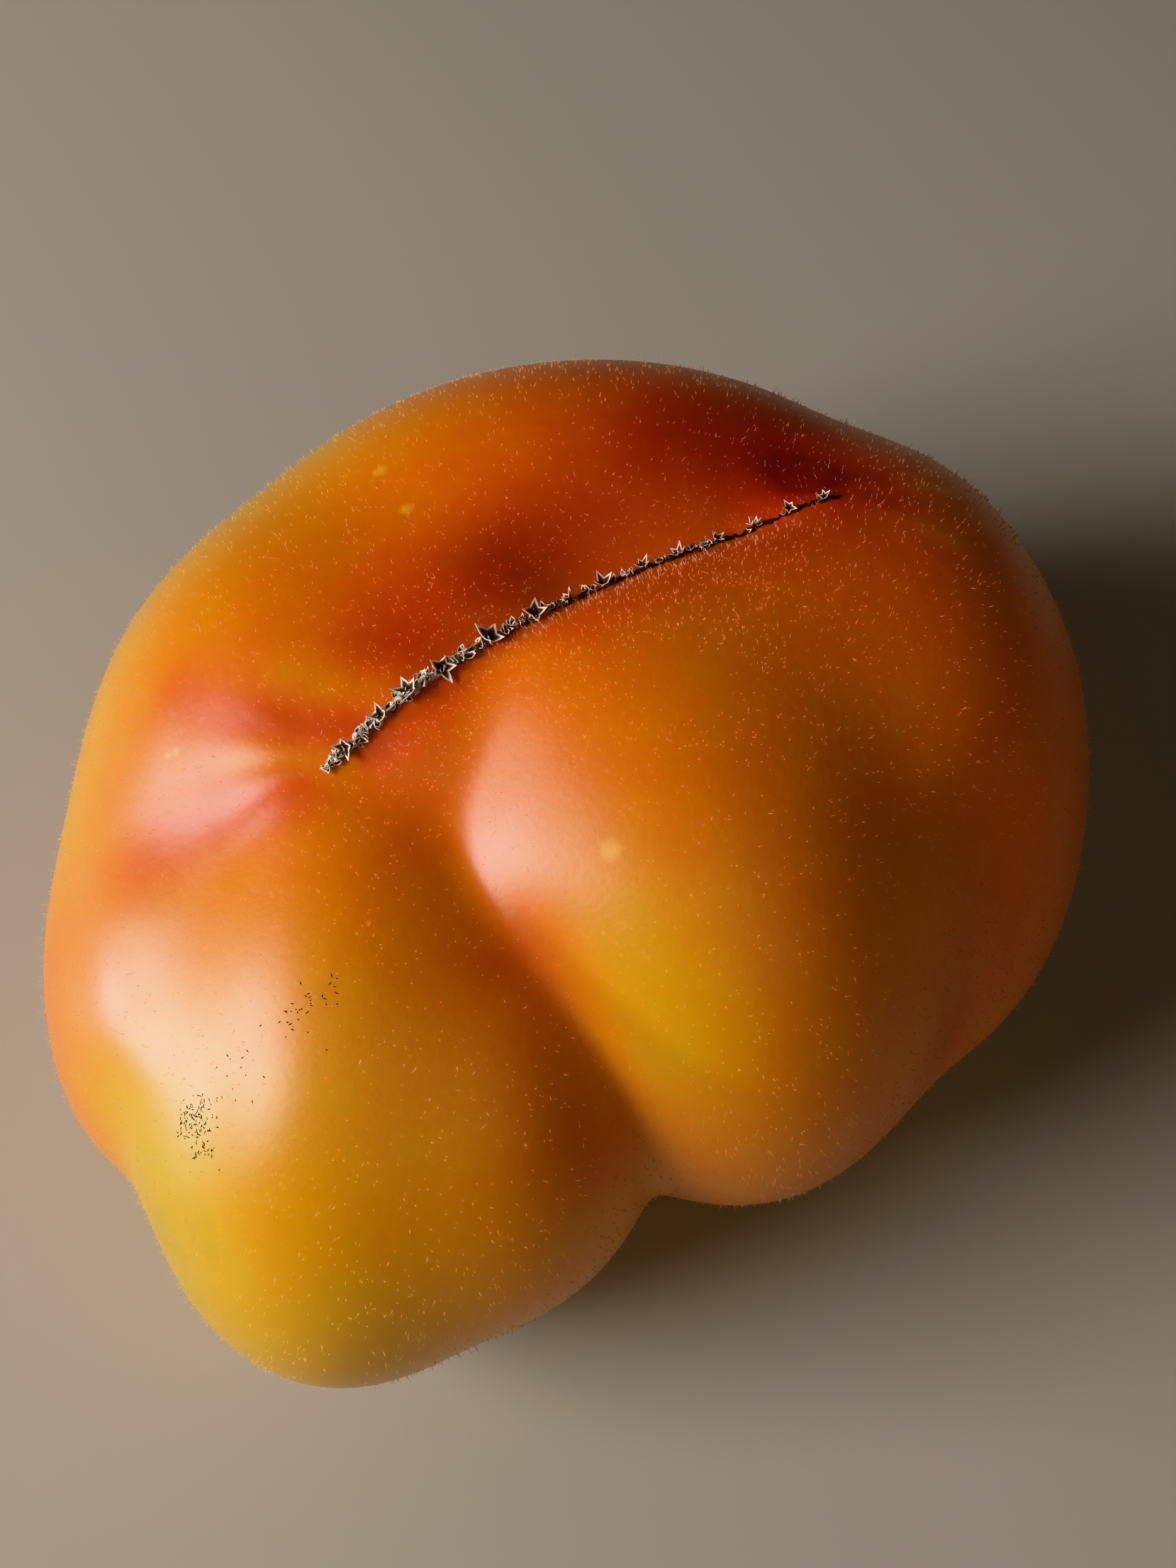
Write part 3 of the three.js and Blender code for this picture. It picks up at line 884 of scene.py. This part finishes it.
@dataclass
class BlossomScar:
    """The corky seam in the fold on top, with its dry star-shaped scales."""

    fruit: Fruit
    knots: int = 130
    star_shares: tuple = (0.035, 0.1, 0.15, 0.21, 0.3, 0.385, 0.45, 0.52, 0.6, 0.67, 0.75, 0.83, 0.9, 0.965)
    star_radii: tuple = (1.1, 1.0, 1.35, 1.3, 1.4, 1.15, 0.95, 1.0, 0.8, 0.85, 0.75, 0.8, 0.7, 0.6)
    shape: StarShape = StarShape()
    star_arms: tuple = (4, 5)
    star_lift: float = 0.35
    star_lean: float = 0.25
    chips: int = 210
    chip_arms: tuple = (2, 3)
    chip_lift: float = 0.2
    chip_lean: float = 0.6
    size_lift: float = 0.25
    seam_widths: tuple = ((0, 0.03, 0.1, 0.3, 0.5, 1), (0.2, 0.4, 0.5, 0.44, 0.36, 0.32))
    scale_spread: tuple = ((0, 0.04, 0.12, 0.5, 1), (0.1, 0.35, 0.5, 0.35, 0.3))
    chip_sizes: tuple = ((0, 0.5, 1), (0.7, 0.45, 0.4))
    voxel: float = 0.14
    rough: float = 0.2

    def place(self, u: np.ndarray, aside: np.ndarray) -> tuple[np.ndarray, np.ndarray]:
        """Points of the skin along the scar, and the skin's directions there.

        Args:
            u: the shares of the scar's way.
            aside: how far each lies beside it, in millimetres.

        Returns:
            The points and the outward directions.
        """
        low, high = self.fruit.scar_x
        x = low + (high - low) * u + 0.5 * aside
        y = self.fruit.scar_y(u) - aside
        points = self.fruit.above(x, y)
        return points, self.fruit.normals(points)

    def crust(self, rng: Generator, finish: CorkFinish) -> Object:
        """Make the seam: many small knots of cork, run together.

        Args:
            rng: the random draws.
            finish: the cork's finish.

        Returns:
            The seam's piece.
        """
        u = (np.arange(self.knots) + 0.5) / self.knots
        widths = np.interp(u, *self.seam_widths)
        aside = rng.normal(0, 0.3, self.knots) * widths
        points, _ = self.place(u, aside)
        sizes = widths * rng.uniform(0.6, 1.2, self.knots)
        bm = bmesh.new()
        for point, size in zip(points, sizes):
            stretch = rng.uniform(0.7, 1.3, 3) * size
            turn = Matrix.Rotation(rng.uniform(0, math.pi), 4, "Z")
            grown = Matrix.Translation(Vector(point)) @ turn @ Matrix.Diagonal((*stretch, 1))
            bmesh.ops.create_icosphere(bm, subdivisions=2, radius=1.0, matrix=grown)
        rough = bpy.data.meshes.new("rough_cork")
        bm.to_mesh(rough)
        bm.free()
        holder = bpy.data.objects.new("rough_cork", rough)
        bpy.context.scene.collection.objects.link(holder)
        remesh = holder.modifiers.new("run_together", "REMESH")
        remesh.mode = "VOXEL"
        remesh.voxel_size = self.voxel
        graph = bpy.context.evaluated_depsgraph_get()
        settled = bpy.data.meshes.new_from_object(holder.evaluated_get(graph))
        bpy.data.objects.remove(holder)
        bm = bmesh.new()
        bm.from_mesh(settled)
        pale = bm.verts.layers.float.new("paleness_and_fold_shade")
        bm.normal_update()
        moves = [v.normal * self.rough * noise.noise(v.co * 2.2) for v in bm.verts]
        low, high = self.fruit.scar_x
        for vert, move in zip(bm.verts, moves):
            # Painted shade: the seam's cork is drawn darker towards the scar's right end, where it lies deep
            # in the fold; the random pale patches are the cork's own and thin out the same way.
            right = (vert.co.x - low) / (high - low)
            patchy = 0.6 * noise.noise(vert.co * 0.9)
            vert[pale] = max(0.0, 0.5 - 0.8 * right + patchy * (1 - right))
            vert.co = Vector(self.fruit.to_part(np.array(vert.co + move)))
        return finish_piece(bm, "blossom_scar_cork", finish.material())

    def star(self, bm: bmesh.types.BMesh, pale: object, size: float, rng: Generator, arms: int) -> None:
        """Add one dry scale: a little crown of curled points round a dark hollow.

        Args:
            bm: the bmesh to add it to, in millimetres, at the origin, facing up.
            pale: the bmesh's layer of paleness.
            size: its radius, in millimetres.
            rng: the random draws.
            arms: how many points it has.
        """
        shape = self.shape
        made = bmesh.ops.create_circle(bm, cap_ends=True, segments=arms * shape.rim_parts, radius=size)
        rim = made["verts"]
        face = rim[0].link_faces[0]
        band = bmesh.ops.inset_individual(bm, faces=[face], thickness=size * shape.band)["faces"]
        fan = bmesh.ops.poke(bm, faces=[face])
        heart = fan["verts"][0]
        reach = rng.uniform(*shape.reach, arms)
        curl = rng.uniform(*shape.curl, arms)
        start = math.atan2(rim[0].co.y, rim[0].co.x)
        for vert in rim:
            turn = (math.atan2(vert.co.y, vert.co.x) - start) % (2 * math.pi) / (2 * math.pi) * arms
            arm = round(turn) % arms
            tip = (0.5 + 0.5 * math.cos(2 * math.pi * turn)) ** shape.sharpness
            vert.co *= shape.waist + (reach[arm] - shape.waist) * tip
            vert.co.z = size * (shape.rim_height + curl[arm] * tip)
            vert[pale] = shape.rim_paleness + shape.tip_paleness * tip
        for vert in {v for f in fan["faces"] for v in f.verts} - {heart}:
            way = vert.co.xy.normalized()
            edge = min(rim, key=lambda r: (r.co.xy.normalized() - way).length)
            vert.co = edge.co * shape.hollow_reach
            vert.co.z = edge.co.z * shape.hollow_height
            vert[pale] = shape.hollow_paleness
        heart.co.z = -size * shape.heart_depth
        heart[pale] = 0.0
        faces = list({*band, *fan["faces"]})
        bmesh.ops.solidify(bm, geom=faces, thickness=size * shape.thickness)

    def scales(self, rng: Generator, finish: CorkFinish) -> Object:
        """Make the star-shaped scales and the small chips between them.

        Args:
            rng: the random draws.
            finish: the cork's finish.

        Returns:
            The scales' piece.
        """
        stars = len(self.star_shares)
        shares = np.concatenate([self.star_shares, rng.beta(1, 2.4, self.chips)])
        chip_sizes = np.interp(shares[stars:], *self.chip_sizes) * rng.uniform(0.45, 1.1, self.chips)
        sizes = np.concatenate([self.star_radii, chip_sizes])
        spread = np.interp(shares, *self.scale_spread)
        aside = rng.uniform(-1, 1, len(shares)) * spread
        aside[:stars] *= 0.6
        points, outs = self.place(shares, aside)
        bm = bmesh.new()
        pale = bm.verts.layers.float.new("paleness_and_fold_shade")
        for i, (point, out, size) in enumerate(zip(points, outs, sizes)):
            before = len(bm.verts)
            is_star = i < stars
            arms = int(rng.choice(self.star_arms if is_star else self.chip_arms))
            self.star(bm, pale, float(size), rng, arms)
            bm.verts.ensure_lookup_table()
            lean = Vector(out) + Vector(rng.normal(0, self.star_lean if is_star else self.chip_lean, 3))
            turn = lean.to_track_quat("Z", "Y").to_matrix().to_4x4()
            spin = Matrix.Rotation(rng.uniform(0, math.pi), 4, "Z")
            lift = self.size_lift * float(size) + (self.star_lift if is_star else self.chip_lift)
            lifted = Matrix.Translation(Vector(point) + Vector(out) * lift)
            bmesh.ops.transform(bm, matrix=lifted @ turn @ spin, verts=bm.verts[before:])
        for vert in bm.verts:
            vert.co = Vector(self.fruit.to_part(np.array(vert.co)))
        bmesh.ops.recalc_face_normals(bm, faces=bm.faces)
        piece = finish_piece(bm, "blossom_scar_scales", finish.material())
        piece.data.polygons.foreach_set("use_smooth", np.zeros(len(piece.data.polygons), bool))
        return piece


@dataclass
class StemScar:
    """The corky disc in the stem hollow, with a raised rim and a pit."""

    fruit: Fruit
    radius: float = 6.4
    out: float = 1.2
    inward: float = 1.5
    pit: float = 1.6
    steps: int = 96
    cracks: int = 7
    crack_depth: float = 0.35
    oval: tuple[float, float] = (1.12, 0.9)

    def build(self, finish: CorkFinish) -> Object:
        """Make the disc.

        Args:
            finish: the cork's finish.

        Returns:
            The stem scar's piece.
        """
        x, y = self.fruit.stem
        start = np.array([[x, y, self.fruit.table_z]], float)
        end = np.array([[x, y, self.fruit.core[2]]], float)
        roof = self.fruit.skin_between(start, end, 120)[0]
        profile = [
            (0.0, 0.3),
            (self.pit * 0.6, 0.25),
            (self.pit, -0.2),
            (self.pit * 1.4, -self.out * 0.95),
            (self.radius * 0.55, -self.out * 0.8),
            (self.radius * 0.75, -self.out),
            (self.radius * 0.93, -self.out * 0.7),
            (self.radius, -0.1),
            (self.radius * 0.9, self.inward * 0.6),
            (self.radius * 0.5, self.inward),
            (0.0, self.inward),
        ]
        bm = bmesh.new()
        verts = [bm.verts.new((r, 0, h)) for r, h in profile]
        edges = [bm.edges.new(pair) for pair in zip(verts, verts[1:])]
        turned = {"cent": (0, 0, 0), "axis": (0, 0, 1), "angle": 2 * math.pi, "steps": self.steps}
        bmesh.ops.spin(bm, geom=verts + edges, use_merge=True, **turned)
        bmesh.ops.remove_doubles(bm, verts=bm.verts, dist=1e-4)
        bmesh.ops.subdivide_edges(bm, edges=bm.edges, cuts=1, use_grid_fill=True)
        bmesh.ops.recalc_face_normals(bm, faces=bm.faces)
        pale = bm.verts.layers.float.new("paleness_and_fold_shade")
        for vert in bm.verts:
            away = math.hypot(vert.co.x, vert.co.y)
            angle = math.atan2(vert.co.y, vert.co.x)
            wave = math.cos(self.cracks * angle + 0.8 * math.sin(3 * angle))
            crack = max(0.0, wave) ** 6 * min(1.0, away / 2)
            rough = noise.noise(vert.co * 0.9) * 0.35 + noise.noise(vert.co * 3) * 0.12
            vert[pale] = min(1.0, 0.25 + 0.08 * away - 0.3 * crack)
            if vert.co.z < 0:
                vert.co.z += rough + self.crack_depth * crack
            grown = vert.co * Vector((*self.oval, 1))
            grown.rotate(Matrix.Rotation(math.radians(self.fruit.hollow.turn), 3, "Z"))
            vert.co = Vector(self.fruit.to_part(np.array(grown) + roof))
        return finish_piece(bm, "stem_scar_cork", finish.material())


@dataclass
class Fuzz:
    """The fine hairs all over the skin."""

    fruit: Fruit
    skin: Object
    batch: int = 400
    thickness: tuple[float, float] = (0.035, 0.065)
    lean: float = 0.35
    middle: float = 0.45
    bare_foot: float = 2.5

    def roots(self, count: int, rng: Generator) -> tuple[np.ndarray, np.ndarray, np.ndarray]:
        """Draw places all over the skin.

        Args:
            count: how many.
            rng: the random draws.

        Returns:
            The places, in metres, the skin's directions and its ripeness there.
        """
        mesh = self.skin.data
        co = np.zeros(len(mesh.vertices) * 3, np.float32)
        mesh.vertices.foreach_get("co", co)
        co = co.reshape(-1, 3)
        area = np.zeros(len(mesh.polygons), np.float32)
        mesh.polygons.foreach_get("area", area)
        corners = np.zeros(len(mesh.loops), np.int32)
        mesh.loops.foreach_get("vertex_index", corners)
        corners = corners.reshape(-1, 3)
        middles = co[corners].mean(1) / MM / self.fruit.fit - self.fruit.shift
        weight = area * (1 + sum(thick.add(middles) for thick in HAIRY_ZONES))
        chosen = rng.choice(len(area), count, p=weight / weight.sum())
        a, b = rng.uniform(0, 1, (2, count))
        over = a + b > 1
        a, b = np.where(over, 1 - a, a), np.where(over, 1 - b, b)
        p, q, r = (co[corners[chosen, k]] for k in range(3))
        out = np.cross(q - p, r - p)
        out /= np.linalg.norm(out, axis=1, keepdims=True)
        ripe = np.zeros(len(mesh.vertices), np.float32)
        mesh.attributes["ripeness"].data.foreach_get("value", ripe)
        return p + a[:, None] * (q - p) + b[:, None] * (r - p), out, ripe[corners[chosen, 0]]

    def build(self, kind: HairKind, material: Material, rng: Generator) -> Object:
        """Make all hairs of a kind.

        Args:
            kind: short or long.
            material: what the hairs are dressed with.
            rng: the random draws.

        Returns:
            The hairs' piece.
        """
        count, least, most = kind.value
        places, outs, ripe = self.roots(count, rng)
        lengths = rng.uniform(least, most, count) * MM
        thick = rng.uniform(*self.thickness, count) * MM
        leans = outs + rng.normal(0, self.lean, (count, 3))
        leans /= np.linalg.norm(leans, axis=1, keepdims=True)
        tips = places + leans * lengths[:, None]
        low, high = np.array(CAD_LOW), np.array(CAD_HIGH)
        kept = np.all((tips > low) & (tips < high), axis=1) & (places[:, 2] > self.bare_foot * MM)
        whole = bmesh.new()
        chosen = np.flatnonzero(kept)
        for first in range(0, len(chosen), self.batch):
            some = bmesh.new()
            shade = some.verts.layers.float.new("ripeness")
            for i in chosen[first : first + self.batch]:
                turn = Vector(leans[i]).to_track_quat("Z", "Y").to_matrix().to_4x4()
                middle = Vector(places[i]) + Vector(leans[i]) * float(lengths[i]) * self.middle
                made = bmesh.ops.create_cone(
                    some,
                    cap_ends=True,
                    segments=3,
                    radius1=float(thick[i]),
                    radius2=0.0,
                    depth=float(lengths[i]),
                    matrix=Matrix.Translation(middle) @ turn,
                )
                for vert in made["verts"]:
                    vert[shade] = float(ripe[i])
            part = bpy.data.meshes.new("hairs")
            some.to_mesh(part)
            some.free()
            whole.from_mesh(part)
            bpy.data.meshes.remove(part)
        piece = finish_piece(whole, f"skin_hairs_{kind.name.lower()}", material)
        piece.visible_shadow = False
        return piece


@dataclass(frozen=True)
class FloorFinish:
    """A plain pale matt board."""

    colour: str = "BDB5AA"
    roughness: float = 0.8

    def material(self) -> Material:
        """Make the floor's material.

        Returns:
            The material.
        """
        material, tree, shader = new_material("pale_floor")
        shader.inputs["Base Color"].default_value = linear(self.colour)
        shader.inputs["Roughness"].default_value = self.roughness
        return material


@dataclass
class Scratches:
    """Fine dark scratches, healed dry, on the front left lobe."""

    fruit: Fruit
    half_length: tuple[float, float] = (0.07, 0.26)
    half_width: float = 0.06
    half_height: float = 0.04

    def build(self, finish: CorkFinish, rng: Generator) -> Object:
        """Make each scratch a low closed sliver that is half sunk in the skin.

        Args:
            finish: what they are dressed with.
            rng: the random draws.

        Returns:
            The scratches' piece.
        """
        bm = bmesh.new()
        for x, y, spread, count in SCRATCHED:
            spots = np.array([x, y]) + rng.normal(0, spread, (count, 2))
            points = self.fruit.above(spots[:, 0], spots[:, 1])
            for point, out in zip(points, self.fruit.normals(points)):
                along = np.cross(out, rng.normal(0, 1, 3))
                along /= np.linalg.norm(along)
                across = np.cross(out, along)
                long = rng.uniform(*self.half_length)
                rim = [along * long, across * self.half_width, -along * long, -across * self.half_width]
                rim = [bm.verts.new(self.fruit.to_part(point + side)) for side in rim]
                top = bm.verts.new(self.fruit.to_part(point + out * self.half_height))
                foot = bm.verts.new(self.fruit.to_part(point - out * self.half_height))
                for k in range(4):
                    bm.faces.new((rim[k], rim[(k + 1) % 4], top))
                    bm.faces.new((rim[(k + 1) % 4], rim[k], foot))
        return finish_piece(bm, "scratches", finish.material())


@dataclass(frozen=True)
class AreaLight:
    """A soft rectangular light that faces the fruit, measured in metres and watts.

    The azimuth is in degrees clockwise from +Y seen from above, the height in degrees above the
    fruit's middle, and the turn in degrees about the light's own axis.
    """

    name: str
    azimuth: float
    height: float
    away: float
    size: tuple[float, float]
    watts: float
    colour: str
    turn: float = 0.0

    def hang(self) -> None:
        """Hang the light in the scene."""
        data = bpy.data.lights.new(self.name, "AREA")
        data.shape = "RECTANGLE"
        data.size, data.size_y = self.size
        data.energy = self.watts
        data.color = linear(self.colour)[:3]
        light = bpy.data.objects.new(self.name, data)
        a, e = math.radians(self.azimuth), math.radians(self.height)
        way = Vector((math.sin(a) * math.cos(e), math.cos(a) * math.cos(e), math.sin(e)))
        light.location = way * self.away + Vector((0, 0, FRUIT_MIDDLE))
        facing = (-way).to_track_quat("-Z", "Y") @ Quaternion((0, 0, 1), math.radians(self.turn))
        light.rotation_euler = facing.to_euler()
        bpy.context.scene.collection.objects.link(light)


LIGHTS = [
    AreaLight("window", -107, 32, 0.85, (0.5, 0.28), 6.5, "FFF8F0"),
    AreaLight("bright_pane", -99, 8.5, 0.75, (0.22, 0.04), 2.1, "FFFFFF", -27),
    AreaLight("room", 155, 48, 1.2, (1.2, 1.2), 1.35, "FFF8F0"),
]


@dataclass
class Studio:
    """The floor, the lights and the camera, whose distance is in millimetres from the fruit's core."""

    fruit: Fruit
    elevation: float = 62.0
    camera_away: float = 190.0
    focal_pixels: float = 2565.0
    image_height: float = 2212.0
    sensor: float = 36.0
    near_clip: float = 0.01
    floor_half: float = 1.5
    floor_gap_mm: float = 0.05
    world_colour: str = "F4F0EA"
    world_strength: float = 0.05

    def floor(self, finish: FloorFinish) -> None:
        """Lay the floor just under the fruit.

        Args:
            finish: what it is dressed with.
        """
        bm = bmesh.new()
        bmesh.ops.create_grid(bm, x_segments=1, y_segments=1, size=self.floor_half)
        bmesh.ops.translate(bm, vec=(0, 0, CAD_LOW.z - self.floor_gap_mm * MM), verts=bm.verts)
        finish_piece(bm, "floor", finish.material())

    def lights(self) -> None:
        """Light the fruit from a window at its left with one bright low pane, and a weak fill in front."""
        for light in LIGHTS:
            light.hang()
        world = bpy.data.worlds.new("room")
        world.use_nodes = True
        background = world.node_tree.nodes["Background"]
        background.inputs["Color"].default_value = linear(self.world_colour)
        background.inputs["Strength"].default_value = self.world_strength
        bpy.context.scene.world = world
        bpy.context.scene.view_settings.view_transform = "Khronos PBR Neutral"

    def camera(self) -> None:
        """Set the camera at the photograph's viewing angle."""
        data = bpy.data.cameras.new("camera")
        data.sensor_width = self.sensor
        data.lens = self.focal_pixels / self.image_height * self.sensor
        data.clip_start = self.near_clip
        camera = bpy.data.objects.new("camera", data)
        e = math.radians(self.elevation)
        target = Vector(self.fruit.to_part(np.array(self.fruit.core)))
        back = Vector((0, -math.cos(e), math.sin(e)))
        camera.location = target + back * self.camera_away * MM
        camera.rotation_euler = (math.pi / 2 - e, 0, 0)
        bpy.context.scene.collection.objects.link(camera)
        bpy.context.scene.camera = camera


def main() -> None:
    """Build the tomato, its scars and its hairs, and set the studio round them."""
    logging.basicConfig(level=logging.INFO, format="%(message)s")
    rng = np.random.default_rng(SEED)
    fruit = Fruit()
    finish = SkinFinish()
    skin = fruit.build(finish, SKIN_DETAIL)
    hand_over(skin, "skin", "fruit")
    scar = BlossomScar(fruit)
    hand_over(scar.crust(rng, BLOSSOM_CORK), "blossom_cork", "blossom_scar")
    hand_over(scar.scales(rng, SCALE_CORK), "blossom_cork")
    hand_over(StemScar(fruit).build(STEM_CORK), "stem_cork", "stem_scar")
    fuzz = Fuzz(fruit, skin)
    hair = HairFinish().material(finish)
    for kind in HairKind:
        hand_over(fuzz.build(kind, hair, rng), "skin")
    hand_over(Scratches(fruit).build(SCRATCHED_SKIN, rng), "blossom_cork")
    studio = Studio(fruit)
    studio.floor(FloorFinish())
    studio.lights()
    studio.camera()


if __name__ == "__main__":
    main()
